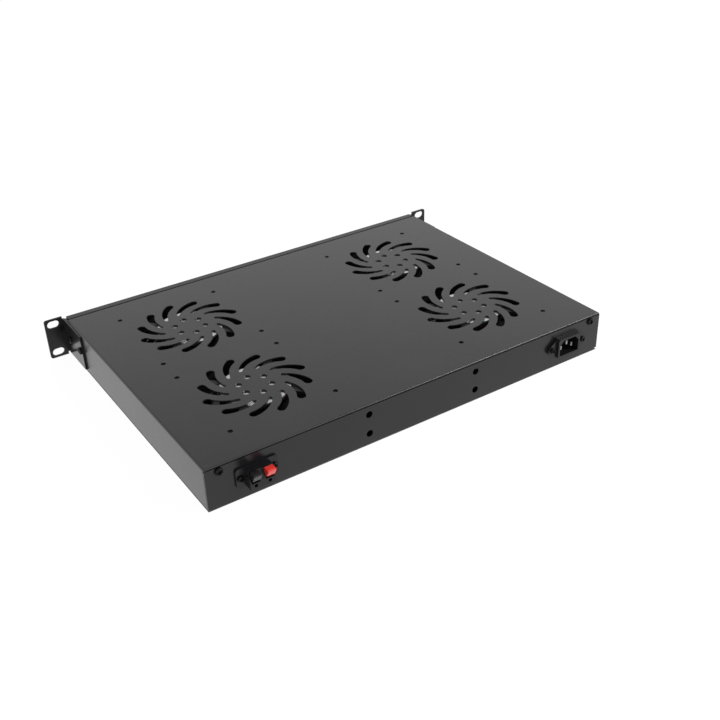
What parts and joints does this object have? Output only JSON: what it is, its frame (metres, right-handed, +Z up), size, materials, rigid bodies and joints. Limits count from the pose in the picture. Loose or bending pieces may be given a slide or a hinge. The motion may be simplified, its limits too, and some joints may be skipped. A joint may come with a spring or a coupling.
{
  "type": "rack fan tray",
  "caption": "Flat rack-mount ventilation tray: axial fans under swirl vents in a folded steel case, with slotted ears, mains inlet, spring terminal, power rocker and thermostat module.",
  "frame": {"origin": "centre of the four rack slots, on the rear faces of the ears, where they seat on the rack's rails", "axes": "+X to the right seen from the front, along the width between the ears; +Y to the rear, out of the seat of the ears; +Z up"},
  "size_m": [0.4826, 0.3406, 0.0436],
  "materials": {
    "case_black": "black semi-gloss powder coat on folded sheet steel",
    "screw_black": "black oxide steel",
    "screw_zinc": "zinc plated steel",
    "bearing_bronze": "sintered bronze",
    "plastic_black": "moulded black thermoplastic",
    "contact_plated": "nickel plated brass contacts",
    "lever_red": "red moulded lever",
    "lever_black": "black moulded lever",
    "shaft_steel": "ground steel",
    "rocker_black": "glossy black rocker",
    "button_grey": "grey moulded cap",
    "board_green": "glass epoxy circuit board",
    "display_dark": "dark display block",
    "window_smoked": "smoked display window",
    "plastic_grey": "grey thermoplastic",
    "plastic_white": "white polyamide",
    "lead_sleeve": "vinyl insulated copper lead",
    "fan_metal": "die-cast aluminium, painted black",
    "stator_steel": "laminated steel core with coils",
    "fan_plastic": "glass filled black thermoplastic",
    "label_foil": "plain silver foil disc",
    "guard_wire": "bright plated steel wire"
  },
  "bodies": {
    "tray": {"top_cover": "case_black", "chassis_pan": "case_black", "ear_bracket_right": "case_black", "ear_bracket_left": "case_black", "bracket_screws": "screw_black", "rear_corner_screws": "screw_black", "bottom_screws": "screw_black", "fan_bearings": "bearing_bronze", "fan_labels": "label_foil", "fan_screws": "screw_zinc", "inlet_body": "plastic_black", "inlet_pins": "contact_plated", "inlet_screws": "screw_black", "terminal_body": "plastic_black", "terminal_pin": "shaft_steel", "terminal_contacts": "contact_plated", "terminal_screws": "screw_black", "panel_nuts": "screw_zinc", "switch_housing": "plastic_black", "thermostat_case": "plastic_black", "thermostat_board": "board_green", "display_digits": "display_dark", "display_window": "window_smoked", "thermostat_back": "plastic_grey", "thermostat_clips": "plastic_grey", "connector_strip": "plastic_white", "mains_leads": "lead_sleeve", "probe_leads": "lead_sleeve", "fan_leads": "lead_sleeve", "fan_frame_front_left": "fan_metal", "fan_stator_front_left": "stator_steel", "fan_spider_front_left": "fan_metal", "fan_guard_front_left": "guard_wire", "fan_frame_front_right": "fan_metal", "fan_stator_front_right": "stator_steel", "fan_spider_front_right": "fan_metal", "fan_guard_front_right": "guard_wire", "fan_frame_rear_left": "fan_metal", "fan_stator_rear_left": "stator_steel", "fan_spider_rear_left": "fan_metal", "fan_guard_rear_left": "guard_wire", "fan_frame_rear_right": "fan_metal", "fan_stator_rear_right": "stator_steel", "fan_spider_rear_right": "fan_metal", "fan_guard_rear_right": "guard_wire"},
    "rotor_front_left": {"fan_rotor_front_left": "fan_plastic", "fan_shaft_front_left": "shaft_steel"},
    "rotor_front_right": {"fan_rotor_front_right": "fan_plastic", "fan_shaft_front_right": "shaft_steel"},
    "rotor_rear_left": {"fan_rotor_rear_left": "fan_plastic", "fan_shaft_rear_left": "shaft_steel"},
    "rotor_rear_right": {"fan_rotor_rear_right": "fan_plastic", "fan_shaft_rear_right": "shaft_steel"},
    "lever_red": {"terminal_lever_red": "lever_red"},
    "lever_black": {"terminal_lever_black": "lever_black"},
    "rocker": {"switch_rocker": "rocker_black"},
    "button_set": {"thermostat_button_set": "button_grey"},
    "button_up": {"thermostat_button_up": "button_grey"},
    "button_down": {"thermostat_button_down": "button_grey"}
  },
  "joints": [
    {"name": "fan_spin_front_left", "type": "hinge", "parent": "tray", "child": "rotor_front_left", "pos_m": [-0.124, 0.0943, 0.01], "axis": [0, 0, 1], "continuous": true},
    {"name": "fan_spin_front_right", "type": "hinge", "parent": "tray", "child": "rotor_front_right", "pos_m": [0.124, 0.0943, 0.01], "axis": [0, 0, 1], "continuous": true},
    {"name": "fan_spin_rear_left", "type": "hinge", "parent": "tray", "child": "rotor_rear_left", "pos_m": [-0.124, 0.2293, 0.01], "axis": [0, 0, 1], "continuous": true},
    {"name": "fan_spin_rear_right", "type": "hinge", "parent": "tray", "child": "rotor_rear_right", "pos_m": [0.124, 0.2293, 0.01], "axis": [0, 0, 1], "continuous": true},
    {"name": "lever_red", "type": "hinge", "parent": "tray", "child": "lever_red", "pos_m": [0.1668, 0.3228, 0.0034], "axis": [-1, 0, 0], "range_deg": [0, 18], "stiffness_Nm_per_rad": 0.05, "springref_deg": -17.19},
    {"name": "lever_black", "type": "hinge", "parent": "tray", "child": "lever_black", "pos_m": [0.18, 0.3228, 0.0034], "axis": [-1, 0, 0], "range_deg": [0, 18], "stiffness_Nm_per_rad": 0.05, "springref_deg": -17.19},
    {"name": "power_rocker", "type": "hinge", "parent": "tray", "child": "rocker", "pos_m": [-0.188, -0.001, 0], "axis": [0, 0, 1], "range_deg": [0, 16]},
    {"name": "button_set", "type": "slide", "parent": "tray", "child": "button_set", "axis": [0, 1, 0], "range_m": [0, 0.0008], "stiffness_N_per_m": 300, "springref_m": -0.001},
    {"name": "button_up", "type": "slide", "parent": "tray", "child": "button_up", "axis": [0, 1, 0], "range_m": [0, 0.0008], "stiffness_N_per_m": 300, "springref_m": -0.001},
    {"name": "button_down", "type": "slide", "parent": "tray", "child": "button_down", "axis": [0, 1, 0], "range_m": [0, 0.0008], "stiffness_N_per_m": 300, "springref_m": -0.001}
  ]
}
